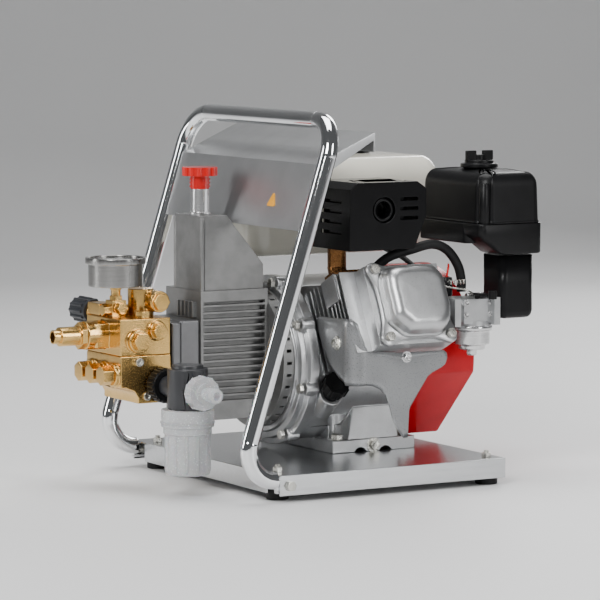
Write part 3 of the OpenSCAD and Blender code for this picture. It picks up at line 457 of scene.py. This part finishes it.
# ---------------------------------------------------------------- deflector sheet
CHEEK_END = 56.0               # where the cheek begins, in front of the origin
BEND = 20.0                    # radius where the cheek turns into the front panel
PANEL_END = 159.5
PANEL_TOP = [                  # x and z along the front panel
    (30, 195), (36, 190), (40, 177), (46, 166), (54, 160), (64, 157), (100, 154), (156, 154),
    (PANEL_END, 151)]
PANEL_LOW = [
    (30, 118), (50, 118.5), (60, 117.5), (70, 113), (77, 106), (81, 96), (85, 80), (92, 66),
    (100, 55.5), (106.5, 55.5), (107.4, 86), (110, 92), (133, 125), (139, 129), (151, 134),
    (157, 138), (PANEL_END, 145)]
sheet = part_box("deflector")[0] / MM          # its left and front faces
CHEEK_TOP = [(CHEEK_END, 193), (112, 195), (-sheet.y, 195)]      # forward distance and z
CHEEK_LOW = [(CHEEK_END, 176), (66, 160), (82, 137), (100, 126), (116, 120), (-sheet.y, 118)]


def level(line, u):
    """Height of a polyline at u."""
    for (a, za), (b, zb) in zip(line, line[1:]):
        if u <= b:
            return za + (zb - za) * max(0.0, u - a) / (b - a)
    return line[-1][1]


def deflector_stations():
    """Point and outward normal in plan with low and high edge, from the cheek to the panel's end."""
    stations = []
    for i in range(24):
        y = -CHEEK_END + (sheet.y + BEND + CHEEK_END) * i / 23
        stations.append(((sheet.x, y), (-1, 0), level(CHEEK_LOW, -y), level(CHEEK_TOP, -y)))
    for i in range(1, 12):
        a = math.radians(90 * i / 12)
        x, y = sheet.x + BEND - BEND * math.cos(a), sheet.y + BEND - BEND * math.sin(a)
        low, high = PANEL_LOW[0][1], level(PANEL_TOP, max(PANEL_TOP[0][0], x - 4))
        stations.append(((x, y), (-math.cos(a), -math.sin(a)), low, high))
    for i in range(75):
        x = sheet.x + BEND + (PANEL_END - sheet.x - BEND) * i / 74
        stations.append(((x, sheet.y), (0, -1), level(PANEL_LOW, x), level(PANEL_TOP, x)))
    return stations


def deflector():
    """A pressed sheet whose upper edge and lower left edge turn in."""
    rows, thick = 14, 1.5
    w = rows + 1               # points up one side of a station
    stations = deflector_stations()
    verts = []
    for (x, y), (nx, ny), low, high in stations:
        for side in (0, thick):
            for j in range(w):
                z = low + (high - low) * j / rows
                flare = 2.2 * max(0.0, 1 - (z - low) / 5.0) ** 2 if low > 100 and x < 75 else 0.0
                roll = 1.6 * max(0.0, 1 - (high - z) / 4.0) ** 2
                d = side + flare + roll
                verts.append((x - nx * d, y - ny * d, z))
    faces = []
    for i in range(len(stations) - 1):
        a, b = i * 2 * w, (i + 1) * 2 * w
        for j in range(rows):
            faces.append((a + j, b + j, b + j + 1, a + j + 1))
            faces.append((a + w + j, a + w + j + 1, b + w + j + 1, b + w + j))
        faces.append((a, a + w, b + w, b))
        faces.append((a + rows, b + rows, b + w + rows, a + w + rows))
    last = (len(stations) - 1) * 2 * w
    for j in range(rows):
        faces.append((j, j + 1, w + j + 1, w + j))
    for j in range(last, last + rows):
        faces.append((w + j, w + j + 1, j + 1, j))
    piece("deflector_sheet", (verts, faces), "grey_paint", "deflector")


deflector()
bolt("deflector_bolt_side", (sheet.x, -100, 166), (-1, 0, 0), 5.5, 5)
bolt("deflector_bolt_front", (104, sheet.y, 149), (0, -1, 0), 4.6, 5, "turned_steel")
bolt("drain_bolt", (105, -57, 38.5), (0, -1, 0), 6.0, 6)

# ---------------------------------------------------------------- carburettor fittings and hoses
lo, hi = box_mm("carburettor")
for k, (x, drop) in enumerate(((181, 7), (215, 7), (181, 21), (215, 21))):
    bolt("carb_screw_%d" % (k + 1), (x, lo.y + 9, hi.z - drop), (0, -1, 0), 2.6, 2.6, "turned_steel")
BREATHER = [(84, -78, 232), (89, -86, 248), (104, -94, 262), (132, -99, 270), (158, -100, 275),
            (178, -100, 268), (192, -100, 252), (198, -100, 236), (199, -100, 218)]
FUEL = [(196, -100, 170), (188, -96, 176), (176, -84, 200), (172, -60, 232), (170, -20, 252),
        (168, 24, 262)]
LINK = [(206, -122, 214), (190, -124, 222), (170, -112, 226), (156, -96, 236)]
COIL = [(170 + 0.9 * i, -118 + 2.6 * math.cos(i * 1.3), 231 + 2.6 * math.sin(i * 1.3)) for i in range(26)]
WIRE = [(176, -104, 236), (178, -104, 246), (186, -92, 250), (200, -70, 248)]
tube("breather_tube", BREATHER, 5.6, "rubber", "breather_hose")
tube("fuel_hose", FUEL, 3.2, "rubber")
tube("governor_link", LINK, 1.1, "zinc")
tube("governor_spring", COIL, 0.6, "zinc", sides=8, per=3)
rod("throttle_shaft", (192, -121, 214), (216, -121, 214), 4.0, "turned_steel")
rod("carb_solenoid", (176, -104, 214), (176, -104, 236), 6.5, "black_plastic")
tube("stop_wire", WIRE, 1.4, "red_plastic", sides=8)

# ---------------------------------------------------------------- hood sticker and gauge dial


def hood_sticker():
    """A plain triangle with round corners, on the hood's sloping front."""
    lean = math.tan(math.radians(17.5))
    low_edge = 302.0
    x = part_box("hood")[0].x / MM - 0.25
    y, z, reach, corner_r = -88.0, 331.0, 7.4, 1.6
    outline = []
    for a in (90, 210, 330):
        cy, cz = y + reach * math.cos(math.radians(a)), z + reach * math.sin(math.radians(a))
        for t in (math.radians(a - 60 + 20 * j) for j in range(7)):
            outline.append((cy + corner_r * math.cos(t), cz + corner_r * math.sin(t)))
    skin = [[(x + (v - low_edge) * lean - d, u, v) for u, v in outline] for d in (-1.0, 0.9)]
    piece("hood_sticker", loft(skin), "red_plastic", finish=STICKER, smooth=False)


def gauge_dial():
    """A white disc under the lens, with a ring of tick marks."""
    lo, hi = box_mm("gauge_case")
    middle = ((lo.x + hi.x) / 2, (lo.y + hi.y) / 2)
    r, z = (hi.x - lo.x) / 2 - 5.5, hi.z - 13.5
    disc = [circle(q, h, 48, middle) for q, h in ((r, z - 1), (r, z), (2.2, z))]
    piece("gauge_dial", loft(disc), "lens", finish=DIAL_WHITE)
    verts, faces = [], []
    for i in range(41):
        a = math.radians(-45 + 270 * i / 40)
        length = 5.5 if i % 10 == 0 else 4.2 if i % 5 == 0 else 2.8
        half = 0.5 if i % 10 == 0 else 0.25
        k = len(verts)
        for h in (z, z + 0.15):
            for q, side in ((r - length, -half), (r - 1, -half), (r - 1, half), (r - length, half)):
                verts.append((middle[0] + q * math.cos(a) - side * math.sin(a),
                              middle[1] + q * math.sin(a) + side * math.cos(a), h))
        faces += [(k, k + 3, k + 2, k + 1), (k + 4, k + 5, k + 6, k + 7)]
        faces += [(k + j, k + (j + 1) % 4, k + 4 + (j + 1) % 4, k + 4 + j) for j in range(4)]
    piece("gauge_scale", (verts, faces), "needle_black", finish=INK, smooth=False)


hood_sticker()
gauge_dial()

# ---------------------------------------------------------------- studio, in metres


def floor():
    """A pale floor that curves up into a wall behind the machine."""
    span, start, r, top = 9.0, 2.6, 1.6, 8.0
    curve = [math.radians(a) for a in range(10, 91, 10)]
    profile = [(-span, 0.0), (start, 0.0)]
    profile += [(start + r * math.sin(a), r - r * math.cos(a)) for a in curve]
    profile.append((start + r, top))
    turn = Matrix.Rotation(math.radians(-30), 4, "Z")
    verts = [turn @ Vector((side * span, y, z)) for y, z in profile for side in (-1, 1)]
    faces = [(2 * i, 2 * i + 1, 2 * i + 3, 2 * i + 2) for i in range(len(profile) - 1)]
    mesh = bpy.data.meshes.new("floor")
    mesh.from_pydata(verts, [], faces)
    for face in mesh.polygons:
        face.use_smooth = True
    o = bpy.data.objects.new("floor", mesh)
    bpy.context.scene.collection.objects.link(o)
    mesh.materials.append(surface("studio_floor", (0.80, 0.80, 0.80), metallic=0.0, rough=0.55, scale=2,
                                  vary=0.01, rough_vary=0.05, fine=60, bump=0.0))
    return o


def lamp(name, at, aim, size, power):
    data = bpy.data.lights.new(name, "AREA")
    data.shape = "RECTANGLE"
    data.size, data.size_y = size
    data.energy = power
    o = bpy.data.objects.new(name, data)
    bpy.context.scene.collection.objects.link(o)
    o.location = at
    o.rotation_euler = (Vector(aim) - Vector(at)).to_track_quat("-Z", "Y").to_euler()


floor()
lamp("key", (-1.9, -1.5, 1.9), (0, 0, 0.2), (0.8, 1.2), 60)
lamp("front", (0.9, -2.3, 1.1), (0.05, 0, 0.2), (0.5, 1.4), 22)
lamp("top", (0.1, 0.2, 2.3), (0, 0, 0.2), (1.5, 1.5), 44)
lamp("rim", (1.9, 1.5, 1.4), (0, 0, 0.25), (0.8, 1.4), 30)
lamp("side", (-2.2, 0.9, 0.9), (-0.1, 0, 0.2), (0.4, 1.4), 20)
world = bpy.data.worlds.new("studio")
bpy.context.scene.world = world
world.use_nodes = True
world.node_tree.nodes["Background"].inputs["Color"].default_value = (0.82, 0.84, 0.86, 1)
world.node_tree.nodes["Background"].inputs["Strength"].default_value = 0.12

# ---------------------------------------------------------------- camera, in metres
HEADING, DOWN, DISTANCE = 30.472, 5.484, 4.1577        # line of sight to TARGET, and how far off
TARGET = Vector((0.06545, -0.02505, 0.19754))
AIM_HEADING, AIM_DOWN = 29.978, 5.341                  # line that the camera looks along
LENS = 213.216


def sight(heading, down):
    """Direction of a line of sight, from its compass heading and its dip."""
    h, d = math.radians(heading), math.radians(down)
    return Vector((math.sin(h) * math.cos(d), math.cos(h) * math.cos(d), -math.sin(d)))


eye = bpy.data.cameras.new("camera")
eye.lens = LENS
eye.sensor_width = 36
eye.clip_end = 60
camera = bpy.data.objects.new("camera", eye)
bpy.context.scene.collection.objects.link(camera)
camera.location = TARGET - sight(HEADING, DOWN) * DISTANCE
camera.rotation_euler = sight(AIM_HEADING, AIM_DOWN).to_track_quat("-Z", "Y").to_euler()
bpy.context.scene.camera = camera
